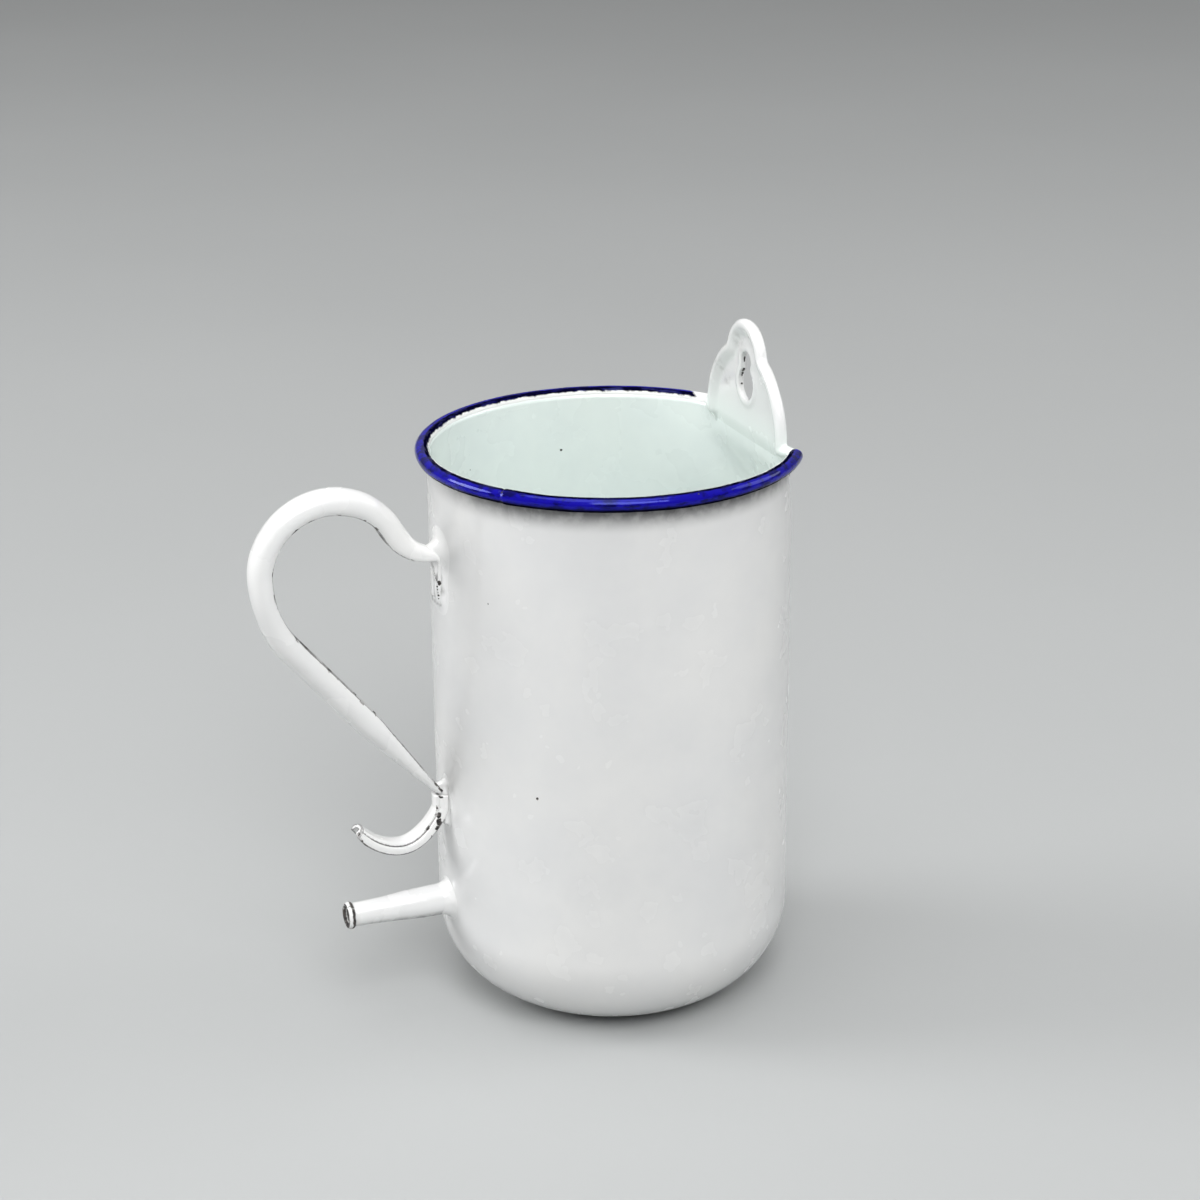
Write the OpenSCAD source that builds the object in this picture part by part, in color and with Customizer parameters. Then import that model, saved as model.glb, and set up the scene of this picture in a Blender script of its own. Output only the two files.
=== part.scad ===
// Enamelled sheet-steel douche can with hanging plate, handle, tube hook and hose spout.
// Millimetres. The origin is the middle of the underside, +Z runs up the can's axis.
// The handle, the hook and the spout point to -Y, the hanging plate stands at +Y.

/* [Can] */
// Outside diameter of the can's wall
can_d = 120; // [110:1:140]
// Height of the wall's top edge, which is the middle of the rolled rim
can_h = 191; // [180:1:230]
// Thickness of the wall: sheet steel with enamel on both faces
wall = 1; // [0.8:0.1:1.4]
// Outside radius of the drawn corner between wall and bottom
corner_r = 31; // [12:1:32]

/* [Rolled rim] */
// Outside diameter of the rolled bead
bead_d = 4.8; // [4:0.1:6]
// Thickness of the sheet in the bead
bead_t = 0.8; // [0.6:0.1:1]
// Half of the angle that the bead leaves open for the hanging plate
bead_gap = 35; // [34:1:46]

/* [Flattened back] */
// Distance that the back is pressed in from the round of the wall
flat_in = 9; // [7:0.5:11]
// Height of the upright flat below the wall's top edge
flat_h = 7.5; // [6:0.5:12]
// Height over which the flat slopes out into the round wall
slope_h = 19; // [14:1:26]

/* [Hanging plate] */
// Thickness of the plate
plate_t = 1; // [0.8:0.1:1.4]
// Height of the middle of the round top above the wall's top edge
crown_z = 24; // [22:0.5:27]
// Outside radius of the round top
crown_r = 13.4; // [12.4:0.2:16]
// Outside radius of the plate's broad lower round
base_r = 29.2; // [26:0.2:30]
// Height of the lower round's middle above the wall's top edge
base_z = 0.6; // [0.2:0.2:3]
// Diameter of the rolled edge
roll_d = 4.3; // [3.6:0.1:5]
// Distance of the roll's middle in front of the plate's middle
roll_fore = 0.3; // [0.1:0.1:0.9]
// Diameter of the keyhole's wide lower end
key_d = 11; // [9:0.2:12]
// Width of the keyhole's slot
key_w = 7.4; // [6:0.2:8.4]
// Height of the wide end's middle above the wall's top edge
key_z = 15.3; // [14:0.1:17]
// Distance from the wide end's middle to the slot's upper middle
key_rise = 7.2; // [6:0.2:9]

/* [Handle] */
// Width of the strip at the top of the loop
grip_w = 10.8; // [9:0.2:13]
// Depth of the pressed channel at the top of the loop
grip_d = 8.2; // [7:0.2:10]
// Depth of the channel where the neck has opened from the tongue
neck_d = 7.6; // [6:0.2:9]
// Depth of the channel down the loop's outer side
side_d = 7.2; // [6:0.2:9]
// Depth of the channel down the straight part below the loop
slant_d = 8.3; // [7:0.1:10]
// Depth of the channel at the foot
foot_d = 2.4; // [2:0.1:3.5]
// Angle by which the channel's edges curl in past its widest place
edge_curl = 35; // [0:1:45]
// Length over which the channel flattens towards the foot
foot_flat = 34; // [24:1:44]
// Thickness of the strip
strip_t = 1.4; // [1:0.1:1.8]
// Width of the flattened tongue on the wall
tongue_w = 9; // [8:0.5:11]
// Thickness of the tongue
tongue_t = 1.5; // [1.4:0.1:2]
// Length of the tongue that lies on the wall
tongue_len = 14.5; // [10:0.5:18]
// Height of the tongue's lower end
tongue_z = 145; // [140:0.5:150]
// Distance from the wall to the middle of the loop
loop_out = 36.5; // [33:0.5:41]
// Height of the middle of the loop
loop_z = 161.2; // [158:0.2:165]
// Radius of the loop's centre line over the top
loop_r = 23.5; // [22:0.1:25]
// Radius of the centre line down the loop's outer side
belly_r = 41.7; // [38:0.1:45]
// Distance from the wall to the foot's centre line at its end
foot_out = 3.4; // [3:0.1:4.5]
// Height of the foot's centre line at its end
foot_z = 79.3; // [76:0.1:82]

/* [Tube hook] */
// Width of the hook's channel, which the handle's foot shares
hook_w = 9; // [7:0.5:10]
// Depth of the channel round the bend
hook_d = 4.1; // [3.4:0.1:5]
// Depth of the channel where it lies on the wall
hook_top_d = 4.6; // [3.8:0.1:5]
// Thickness of the strip
hook_t = 1.3; // [1:0.1:1.6]
// Length of the strip that lies on the wall, under the handle's foot
hook_seat = 4.5; // [4:0.5:9]
// Height of the centre line at the lowest point of the bend
hook_low_z = 60.9; // [58:0.1:63]
// Distance from the wall to the lowest point of the bend
hook_low_out = 16.4; // [15:0.1:20]
// Distance from the wall to the tip
hook_tip_out = 31.1; // [28:0.1:38]
// Height of the tip above the lowest point
hook_tip_rise = 8.4; // [7:0.1:14]

/* [Spout] */
// Height of the spout's axis
spout_z = 38.1; // [34:0.1:42]
// Outside diameter of the spout at the wall
spout_root_d = 10.2; // [9.4:0.2:12]
// Outside diameter of the spout behind its lip
spout_tip_d = 7.9; // [7.4:0.1:9]
// Outside diameter of the rolled lip
lip_d = 9.3; // [9:0.1:10.5]
// Length of the lip
lip_len = 2.5; // [2:0.1:4]
// Distance from the wall to the spout's open end
spout_len = 36.2; // [28:0.5:45]
// Diameter of the spout's bore
bore_d = 6; // [5:0.1:6.4]
// Radial clearance between the spout and its hole in the wall
spout_fit = 0.05; // [0.02:0.01:0.15]

/* [Welds] */
// Radius of the fillet round the spout's root
spout_fillet = 3.2; // [1.5:0.1:4]
// Width of the weld that runs beside the tongue
weld_w = 1.6; // [1:0.1:2.5]

/* [Hidden] */
$fn = 96;
// Sides of the wall's round where weld metal lies on it
weld_fn = 360;
// Overrun of a cutting solid past the face that it cuts
over = 1;
can_r = can_d / 2;
bead_r = bead_d / 2;
// The bead is rolled outwards, flush with the inside of the wall
bead_ring_r = can_r - wall + bead_r;
roll_r = roll_d / 2;
// Distance from the axis to the outside of the flat behind the plate
flat_y = can_r - flat_in;
// Lean of the slope below the flat, from upright
slope_a = atan(flat_in / slope_h);
crease_z = can_h - flat_h;
// Inner face of the flat, on which the plate is lapped
lap_y = flat_y - wall;
// Middle of the plate's roll, which is rolled round the plate's edge
roll_y = lap_y - plate_t / 2 - roll_fore;
// Sides of a strip's section across its crown
crown_n = 14;
enamel_white = "#f2f4f3";
rim_blue = "#2415a8";

// Point on a cubic curve through a and d, pulled towards b and c
function cubic(a, b, c, d, t) =
    pow(1 - t, 3) * a + 3 * t * pow(1 - t, 2) * b + 3 * t * t * (1 - t) * c + pow(t, 3) * d;

// Points along an arc, from angle a0 to a1
function arc(c, r, a0, a1, n) =
    [for (i = [0:n]) let (a = a0 + (a1 - a0) * i / n) c + r * [cos(a), sin(a)]];

// Direction of a path at its point i
function along(p, i) =
    let (v = p[min(i + 1, len(p) - 1)] - p[max(i - 1, 0)]) v / norm(v);

// Distance of the wall's outer face from the XZ plane, at x beside the centre line
function wall_at(x) = sqrt(can_r * can_r - x * x);

// Solid skinned over rings of points, each ring with the same number of points
module skin(rings) {
    n = len(rings[0]);
    m = len(rings);
    side = [for (i = [0:m - 2]) for (j = [0:n - 1]) let (k = (j + 1) % n)
        for (f = [[i * n + j, (i + 1) * n + k, i * n + k],
                  [i * n + j, (i + 1) * n + j, (i + 1) * n + k]]) f];
    half = n / 2;
    // Each end is closed by a row of triangles between the crown's outside and inside
    ends = [for (j = [0:half - 2]) for (e = [0, (m - 1) * n])
        for (f = e == 0
            ? [[e + j, e + j + 1, e + n - 2 - j], [e + j, e + n - 2 - j, e + n - 1 - j]]
            : [[e + j + 1, e + j, e + n - 2 - j], [e + n - 2 - j, e + j, e + n - 1 - j]]) f];
    polyhedron(points = [for (r = rings) each r], faces = concat(side, ends), convexity = 6);
}

// Section of the cup, from its axis outwards
module cup_section(r, corner, z0) {
    translate([0, z0]) {
        square([r - corner, can_h + over - z0]);
        translate([0, corner]) square([r, can_h + over - z0 - corner]);
        intersection() {
            translate([r - corner, corner]) circle(corner);
            translate([r - corner, 0]) square(corner);
        }
    }
}

// Space in front of the flattened back, moved in by one sheet thickness where inset is 1
module before_back(inset) {
    y_flat = flat_y - inset * wall;
    shift = inset * wall * (1 / cos(slope_a) - 1);
    z_crease = crease_z - shift / tan(slope_a);
    reach = can_r + over;
    y_low = y_flat + (z_crease + over) * tan(slope_a);
    translate([-reach, 0, 0]) rotate([90, 0, 90]) linear_extrude(2 * reach)
        polygon([[-reach, -over], [y_low, -over], [y_flat, z_crease],
                 [y_flat, can_h + 2 * over], [-reach, can_h + 2 * over]]);
}

module cup_solid(inset) {
    intersection() {
        rotate_extrude() cup_section(can_r - inset * wall, corner_r - inset * wall, inset * wall);
        before_back(inset);
    }
}

// Everything above the wall's top edge
module above_edge() {
    translate([-can_d, -can_d, can_h]) cube([2 * can_d, 2 * can_d, 3 * over]);
}

// Cylinder along the spout's axis, from distance a to b in front of the can's axis
module spout_rod(r1, r2, a, b) {
    translate([0, -a, spout_z]) rotate([90, 0, 0]) cylinder(r1 = r1, r2 = r2, h = b - a);
}

module can_body() {
    color(enamel_white) difference() {
        cup_solid(0);
        cup_solid(1);
        above_edge();
        spout_rod(spout_root_d / 2 + spout_fit, spout_root_d / 2 + spout_fit, can_r / 2, can_r + over);
    }
}

// The bead is a hollow curl, open inside where the wall's edge stands in it
module bead_section() {
    difference() {
        translate([bead_ring_r, 0]) circle(bead_r);
        translate([bead_ring_r, 0]) circle(bead_r - bead_t);
        translate([can_r - wall - over, -bead_r]) square([wall + over, bead_r]);
    }
}

module rim_bead() {
    color(rim_blue) translate([0, 0, can_h])
        rotate([0, 0, 90 + bead_gap]) rotate_extrude(angle = 360 - 2 * bead_gap) bead_section();
}

// Middles of the crown and of the lower round, in the plate's own plane
crown_c = [0, can_h + crown_z];
base_c = [0, can_h + base_z];

// Right crossing of two circles round the crown's and the lower round's middle
function notch(ra, rb) =
    let (d = crown_z - base_z, a = (ra * ra - rb * rb + d * d) / (2 * d))
    crown_c + [sqrt(ra * ra - a * a), -a];

function bearing(p, c) = atan2(p[1] - c[1], p[0] - c[0]);

// Stands a flat outline up in the XZ plane, with its inner face at distance y
module upright(y, t) {
    translate([0, y + t, 0]) rotate([90, 0, 0]) linear_extrude(t) children();
}

module plate_outline() {
    translate(crown_c) circle(crown_r - roll_r);
    translate(base_c) circle(base_r - roll_r);
}

module keyhole() {
    translate([0, can_h + key_z]) circle(d = key_d);
    translate([0, can_h + key_z + key_rise]) circle(d = key_w);
    translate([-key_w / 2, can_h + key_z]) square([key_w, key_rise]);
}

// Part of a ring round point c of the plate's plane, from bearing a0 over an angle
module roll_arc(c, r, a0, angle) {
    translate([c[0], roll_y, c[1]]) rotate([90, 0, 0]) rotate([0, 0, a0])
        rotate_extrude(angle = angle) translate([r, 0]) circle(roll_r, $fn = 48);
}

// The roll's corners are rounded by balls slightly fuller than the roll
module roll_ball(x, z) {
    translate([x, roll_y, z]) sphere(roll_r * 1.05, $fn = 48);
}

module hanger_roll() {
    ra = crown_r - roll_r;
    rb = base_r - roll_r;
    p = notch(ra, rb);
    crown_a = bearing(p, crown_c);
    // The lower round's roll runs from the wall's top edge up to the notch
    low_a = -asin(base_z / rb);
    foot_x = rb * cos(low_a);
    end = bead_ring_r * [sin(bead_gap), cos(bead_gap)];
    run = [end[0] - foot_x, end[1] - roll_y];
    roll_arc(crown_c, ra, crown_a, 180 - 2 * crown_a);
    for (s = [0, 1]) mirror([s, 0, 0]) {
        roll_arc(base_c, rb, low_a, bearing(p, base_c) - low_a);
        roll_ball(p[0], p[1]);
        roll_ball(foot_x, can_h);
        // At its foot the roll turns outwards and runs into the rim's bead
        translate([foot_x, roll_y, can_h]) rotate([0, 90, atan2(run[1], run[0])])
            cylinder(r = roll_r, h = norm(run), $fn = 48);
    }
}

// Half of the chord that the plate's lap covers, clear of the round wall
lap_x = sqrt(pow(can_r - wall, 2) - lap_y * lap_y) - 0.3;

module hanger_plate() {
    color(enamel_white) {
        upright(lap_y - plate_t, plate_t) difference() {
            union() {
                plate_outline();
                translate([-lap_x, crease_z]) square([2 * lap_x, flat_h + base_z]);
            }
            keyhole();
            // The plate ends at the crease, where the wall slopes away from it
            translate([-can_r, 0]) square([can_d, crease_z]);
        }
        // The wall's top edge stands in the foot of the roll
        difference() {
            hanger_roll();
            translate([0, 0, crease_z]) difference() {
                cylinder(r = can_r, h = flat_h);
                translate([0, 0, -over]) cylinder(r = can_r - wall, h = flat_h + 2 * over);
            }
            translate([-can_r, lap_y, crease_z]) cube([can_d, wall, flat_h]);
        }
    }
}

// Rise of a section's crown at angle a, flatter on top where full is below 1
function bow(a, full) = sin(a) > 0 ? pow(sin(a), full) : sin(a);

// Section of a pressed strip: its crown from one edge to the other, then its inside back again.
// Its edges curl in past the widest place by an angle.
function channel(w, d, t, full, curl) =
    let (b = d / (1 + sin(curl)), y0 = b * sin(curl),
         turns = [for (i = [0:crown_n]) -curl + (180 + 2 * curl) * i / crown_n])
    concat([for (a = turns) [w / 2 * cos(a), y0 + b * bow(a, full)]],
           [for (i = [crown_n:-1:0]) let (a = turns[i])
               [(w / 2 - t) * cos(a), y0 + max(b - t, 0) * bow(a, full)]]);

// A section's points set across a path at point p with direction u. The path is in distance from
// the can's axis and height. Where seat is 1, the points follow the round of the wall.
function ring(section, d, p, u, seat) =
    [for (q = section) let (v = p + (q[1] - d / 2) * [-u[1], u[0]])
        [q[0], seat * (can_r - wall_at(q[0])) - v[0], v[1]]];

// Length of a path up to each of its points
function lengths(p) =
    [for (i = 0, s = 0; i < len(p); i = i + 1, s = s + (i < len(p) ? norm(p[i] - p[i - 1]) : 0)) s];

// Handle: the tongue's centre line, the loop's middle and where its arcs begin and end
tongue_r = can_r + tongue_t / 2;
tongue_top = [tongue_r, tongue_z + tongue_len];
loop_c = [can_r + loop_out, loop_z];
loop_in_a = 152;
belly_a = -3;
belly_c = loop_c + (loop_r - belly_r) * [cos(belly_a), sin(belly_a)];
loop_start = loop_c + loop_r * [cos(loop_in_a), sin(loop_in_a)];
foot_end = [can_r + foot_out, foot_z];
to_foot = foot_end - belly_c;
// The straight part of the handle touches the belly's arc at this angle
foot_a = bearing(foot_end, belly_c) + acos(belly_r / norm(to_foot));
belly_end = belly_c + belly_r * [cos(foot_a), sin(foot_a)];
// Pulls of the curve that bends the neck away from the tongue and into the loop
neck_pull_low = 5.6;
neck_pull_high = 14.2;
// Length over which the neck opens from the tongue into the channel
neck_flat = 16.2;
// Where the strip has bent off the wall, and its depth there
neck_root = 5.6;
neck_root_d = 4.4;

handle_path = concat(
    [for (i = [0:1]) [tongue_r, tongue_z + tongue_len * i / 2]],
    [for (i = [0:9]) cubic(tongue_top, tongue_top + [0, neck_pull_low],
                           loop_start - neck_pull_high * [sin(loop_in_a), -cos(loop_in_a)],
                           loop_start, i / 10)],
    arc(loop_c, loop_r, loop_in_a, belly_a, 20),
    [for (i = [1:5]) let (a = belly_a + (foot_a - belly_a) * i / 5)
        belly_c + belly_r * [cos(a), sin(a)]],
    [for (i = [1:8]) belly_end + (foot_end - belly_end) * i / 8]);
handle_run = lengths(handle_path);
handle_last = len(handle_path) - 1;
handle_len = handle_run[handle_last];
top_run = tongue_len + neck_flat + loop_r * (loop_in_a - 90) * PI / 180;
side_run = top_run + loop_r * (90 - belly_a) * PI / 180;
belly_run = side_run + belly_r * (belly_a - foot_a) * PI / 180;

function handle_d(s) = lookup(s, [[tongue_len, tongue_t],
    [tongue_len + neck_root, neck_root_d], [tongue_len + neck_flat, neck_d], [top_run, grip_d],
    [side_run - loop_r / 2, side_d], [(side_run + belly_run) / 2, side_d],
    [belly_run, slant_d], [handle_len - foot_flat, slant_d], [handle_len, foot_d]]);
function handle_w(s) = lookup(s, [[tongue_len, tongue_w], [top_run, grip_w], [handle_len, hook_w]]);
function handle_full(s) = lookup(s, [[tongue_len, 0.2], [tongue_len + neck_flat, 0.9],
    [handle_len - foot_flat, 0.9], [handle_len, 0.35]]);
function handle_curl(s) = lookup(s, [[tongue_len, 0], [tongue_len + neck_flat, edge_curl],
    [handle_len - foot_flat, edge_curl], [handle_len, 0]]);

// The foot's last section runs on along the strip to the wall, or to the end of the hook
hook_top_z = foot_z - 2;
function foot_ring(section, d, p, u) =
    [for (q = ring(section, d, p, u, 0))
        let (s = max(0, min((-q[1] - wall_at(q[0])) / -u[0], (q[2] - hook_top_z) / -u[1])))
        [q[0], q[1] - s * u[0], q[2] + s * u[1]]];

module handle() {
    color(enamel_white) skin([for (i = [0:handle_last])
        let (s = handle_run[i], d = handle_d(s), p = handle_path[i], u = along(handle_path, i),
             section = channel(handle_w(s), d, strip_t, handle_full(s), handle_curl(s)))
        i < handle_last ? ring(section, d, p, u, s > tongue_len + 1 ? 0 : 1)
                        : foot_ring(section, d, p, u)]);
}

// Hook: down the wall, round the bend and up to the tip. The pulls bend its two curves: down the
// wall, into and out of the lowest point, and back from the tip.
hook_pull_top = 1.8;
hook_pull_in = 7.8;
hook_pull_out = 6.1;
hook_pull_tip = [3, 4];
hook_top = [can_r + hook_top_d / 2, hook_top_z];
hook_low = [can_r + hook_low_out, hook_low_z];
hook_tip = [can_r + hook_tip_out, hook_low_z + hook_tip_rise];
hook_path = concat(
    [hook_top],
    [for (i = [0:9]) cubic(hook_top - [0, hook_seat], hook_top - [0, hook_seat + hook_pull_top],
                           hook_low - [hook_pull_in, 0], hook_low, i / 10)],
    [for (i = [0:8]) cubic(hook_low, hook_low + [hook_pull_out, 0],
                           hook_tip - hook_pull_tip, hook_tip, i / 8)]);
hook_run = lengths(hook_path);
hook_last = len(hook_path) - 1;

module tube_hook() {
    color(enamel_white) skin([for (i = [0:hook_last])
        let (d = lookup(hook_run[i], [[hook_seat, hook_top_d], [hook_seat + 10, hook_d]]))
        ring(channel(hook_w, d, hook_t, 0.4, 0), d, hook_path[i], along(hook_path, i),
             hook_run[i] > hook_seat + 1 ? 0 : 1)]);
}

// Weld metal on the wall is cut to the wall's own round
module off_wall(z0, z1) {
    difference() {
        children();
        translate([0, 0, z0 - over]) cylinder(r = can_r, h = z1 - z0 + 2 * over, $fn = weld_fn);
    }
}

// A run of weld on each side of a strip of width w that lies on the wall
module side_welds(w, z0, z1) {
    for (s = [0, 1]) mirror([s, 0, 0]) off_wall(z0, z1) intersection() {
        translate([w / 2 + weld_w / 2 - 0.3, -wall_at(w / 2 + weld_w / 2), z0])
            cylinder(d = weld_w + 0.6, h = z1 - z0, $fn = 32);
        translate([w / 2, -can_r - weld_w, z0]) cube([2 * weld_w, 2 * weld_w, z1 - z0]);
    }
}

module handle_weld() {
    color(enamel_white) side_welds(tongue_w, tongue_z, tongue_top[1]);
}

module hook_weld() {
    color(enamel_white) side_welds(hook_w, hook_top_z - hook_seat - 3, hook_top_z + 5);
}

module spout() {
    tip = can_r + spout_len;
    color(enamel_white) difference() {
        union() {
            spout_rod(spout_root_d / 2, spout_root_d / 2, can_r / 2, can_r);
            spout_rod(spout_root_d / 2, spout_tip_d / 2, can_r, tip - lip_len);
            spout_rod(lip_d / 2, lip_d / 2, tip - lip_len, tip);
        }
        cylinder(r = can_r - wall, h = can_h);
        spout_rod(bore_d / 2, bore_d / 2, can_r / 2 - over, tip + over);
    }
}

// A hollow fillet between the spout's root and the wall
module spout_weld() {
    root_r = spout_root_d / 2;
    f = spout_fillet;
    color(enamel_white) difference() {
        translate([0, -can_r, spout_z]) rotate([90, 0, 0]) rotate_extrude()
            polygon([[root_r - over, -over], [root_r + f, -over], [root_r + f, 0.05 * f],
                     [root_r + 0.45 * f, 0.3 * f], [root_r + 0.12 * f, 0.6 * f],
                     [root_r - 0.1 * f, f], [root_r - over, f]]);
        cylinder(r = can_r, h = can_h, $fn = weld_fn);
        spout_rod(root_r, root_r, can_r / 2, can_r);
        spout_rod(root_r, spout_tip_d / 2, can_r, can_r + spout_len - lip_len);
    }
}

can_body();
rim_bead();
hanger_plate();
handle();
handle_weld();
tube_hook();
hook_weld();
spout();
spout_weld();
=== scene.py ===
"""Enamelled sheet-steel douche can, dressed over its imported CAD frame.

Every piece is made in the frame's own place: +Z up the can's axis, -Y towards the handle, the
tube hook and the spout, +Y towards the hanging plate. Helpers work in millimetres.
"""

import math

import bmesh
import bpy
from mathutils import Euler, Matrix, Vector, kdtree, noise


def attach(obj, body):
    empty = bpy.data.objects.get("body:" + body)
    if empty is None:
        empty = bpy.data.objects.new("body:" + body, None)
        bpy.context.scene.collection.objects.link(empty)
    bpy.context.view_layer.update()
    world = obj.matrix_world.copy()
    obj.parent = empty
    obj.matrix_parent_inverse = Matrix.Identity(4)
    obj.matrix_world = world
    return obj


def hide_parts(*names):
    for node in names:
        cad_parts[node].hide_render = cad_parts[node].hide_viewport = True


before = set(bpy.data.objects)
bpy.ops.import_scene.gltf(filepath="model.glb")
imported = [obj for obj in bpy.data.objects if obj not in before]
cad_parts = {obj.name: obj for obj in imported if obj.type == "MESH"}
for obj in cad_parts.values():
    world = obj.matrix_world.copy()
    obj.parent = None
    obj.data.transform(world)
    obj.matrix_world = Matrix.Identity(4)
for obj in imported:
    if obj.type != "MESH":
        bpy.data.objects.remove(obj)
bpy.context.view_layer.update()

bl_info = {
    "name": "Enamel douche can",
    "version": (1, 0, 0),
    "blender": (4, 5, 0),
    "location": "3D View > Sidebar > Douche can",
    "description": "Builds an enamelled can with its rim, hanging plate, handle, hook and spout",
    "category": "Object",
}

MM = 0.001

# Without a seed, noise_vector starts from the clock and the strips differ from run to run
noise.seed_set(1)

# Places and sizes in millimetres and degrees; CROWN, BASE and KEY hold heights and radii
CAN_R = 60.0
WALL = 1.0
CAN_H = 191.0
RIM_R = CAN_R - WALL + 2.4
CREASE_Z = 183.5
LAP_Y = 50.0
CROWN = (215.0, 11.25)
BASE = (191.6, 27.05)
ROLL_Y = 49.2
KEY = (206.3, 5.5, 213.5, 3.7)
BEAD_GAP = 35.0
LOOP_R = 23.5
SPOUT_Z = 38.1
SPOUT_R = 5.1

# Shares by which the darker mottles lie under plain white, and the colours of dirt, wear, painted
# shade and a painted reflection
MOTTLING = (0.077, 0.07, 0.056)
WORN_AND_SHADE = (0.05, 0.045, 0.045, 1.0)
RIM_SHADOW = (0.06, 0.06, 0.065, 1.0)
SHADE_AND_SMEAR = (0.14, 0.14, 0.14, 1.0)
HOOK_REFLECTION_GREY = (0.20, 0.20, 0.20, 1.0)
GREY_DIRT_AND_SHADE = (0.30, 0.29, 0.28, 1.0)
BLACK_WEAR_AND_SHADE = (0.001, 0.001, 0.005, 1.0)
BLUE_SHINE = (0.30, 0.36, 1.0, 1.0)


# Sizes and colours


class CanSizes(bpy.types.PropertyGroup):
    """Sizes of the can that its pieces share."""

    radius: bpy.props.FloatProperty(
        name="Wall radius", description="Outside radius of the wall", default=0.060, unit="LENGTH"
    )
    height: bpy.props.FloatProperty(
        name="Wall height", description="Height of the wall's top edge",
        default=0.191, unit="LENGTH",
    )
    corner: bpy.props.FloatProperty(
        name="Corner radius", description="Radius of the drawn corner", default=0.031, unit="LENGTH"
    )
    wall: bpy.props.FloatProperty(
        name="Wall thickness", description="Sheet with its enamel", default=0.001, unit="LENGTH"
    )
    flat: bpy.props.FloatProperty(
        name="Flat distance", description="Axis to the flattened back", default=0.051, unit="LENGTH"
    )
    bead: bpy.props.FloatProperty(
        name="Bead radius", description="Radius of the rolled rim's section",
        default=0.0024, unit="LENGTH",
    )
    roll: bpy.props.FloatProperty(
        name="Roll radius", description="Radius of the plate's rolled edge",
        default=0.00213, unit="LENGTH",
    )
    fillet: bpy.props.FloatProperty(
        name="Spout fillet", description="Reach of the fillet round the spout",
        default=0.0032, unit="LENGTH",
    )


class EnamelColours(bpy.types.PropertyGroup):
    """Colours of the enamel and of the iron under it."""

    white: bpy.props.FloatVectorProperty(
        name="White", description="White enamel outside", subtype="COLOR", size=4,
        default=(0.825, 0.825, 0.815, 1.0), min=0.0, max=1.0,
    )
    inside: bpy.props.FloatVectorProperty(
        name="Inside", description="White enamel inside, faintly green", subtype="COLOR", size=4,
        default=(0.80, 0.868, 0.835, 1.0), min=0.0, max=1.0,
    )
    blue: bpy.props.FloatVectorProperty(
        name="Blue", description="Cobalt blue enamel of the rim", subtype="COLOR", size=4,
        default=(0.006, 0.003, 0.29, 1.0), min=0.0, max=1.0,
    )
    iron: bpy.props.FloatVectorProperty(
        name="Bare iron", description="Dark iron where enamel has chipped off",
        subtype="COLOR", size=4,
        default=(0.012, 0.011, 0.012, 1.0), min=0.0, max=1.0,
    )
    rust: bpy.props.FloatVectorProperty(
        name="Chip edge", description="Grey-brown ground coat round a chip",
        subtype="COLOR", size=4,
        default=(0.10, 0.085, 0.075, 1.0), min=0.0, max=1.0,
    )


# Node trees


class Wiring:
    """Adds and links the nodes of one tree in short calls."""

    def __init__(self, tree):
        self.tree = tree

    def add(self, kind, values=None, **settings):
        """New node; settings are its own properties, values go to its inputs by name or index."""
        node = self.tree.nodes.new(kind)
        node.location = (200 * len(self.tree.nodes), 0)
        for key, value in settings.items():
            setattr(node, key, value)
        for key, value in (values or {}).items():
            self.put(node.inputs[key], value)
        return node

    def put(self, socket, value):
        """Links a socket to the input, or sets the input to a plain value."""
        if isinstance(value, bpy.types.NodeSocket):
            self.tree.links.new(value, socket)
        else:
            socket.default_value = value

    def maths(self, kind, operation, *values):
        node = self.add(kind, operation=operation)
        for i, value in enumerate(values):
            self.put(node.inputs[i], value)
        return node.outputs

    def math(self, operation, *values):
        return self.maths("ShaderNodeMath", operation, *values)[0]

    def plus(self, a, b):
        return self.math("ADD", a, b)

    def minus(self, a, b):
        return self.math("SUBTRACT", a, b)

    def times(self, a, b):
        return self.math("MULTIPLY", a, b)

    def vector(self, operation, *values):
        return self.maths("ShaderNodeVectorMath", operation, *values)[0]

    def noise(self, place, scale, detail=2.0, rough=0.5, w=None):
        values = {"Scale": scale, "Detail": detail, "Roughness": rough, "Vector": place}
        if w is None:
            return self.add("ShaderNodeTexNoise", values).outputs[0]
        return self.add("ShaderNodeTexNoise", {**values, "W": w}, noise_dimensions="4D").outputs[0]

    def remap(self, value, low, high, to_low=0.0, to_high=1.0):
        """Value mapped softly from low..high to to_low..to_high, clamped."""
        return self.add(
            "ShaderNodeMapRange", {0: value, 1: low, 2: high, 3: to_low, 4: to_high},
            interpolation_type="SMOOTHSTEP",
        ).outputs[0]

    def mix(self, share, a, b):
        node = self.add("ShaderNodeMix", data_type="RGBA")
        for index, value in ((0, share), (6, a), (7, b)):
            self.put(node.inputs[index], value)
        return node.outputs[2]


def new_group(name, kind, inputs, outputs):
    """Node group with named sockets, given as (name, kind, default) and as (name, kind)."""
    tree = bpy.data.node_groups.new(name, kind)
    for label, socket, default in inputs:
        item = tree.interface.new_socket(label, in_out="INPUT", socket_type="NodeSocket" + socket)
        if default is not None:
            item.default_value = default
    for label, socket in outputs:
        tree.interface.new_socket(label, in_out="OUTPUT", socket_type="NodeSocket" + socket)
    w = Wiring(tree)
    return tree, w, w.add("NodeGroupInput").outputs, w.add("NodeGroupOutput").inputs


# Shared effects


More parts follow.
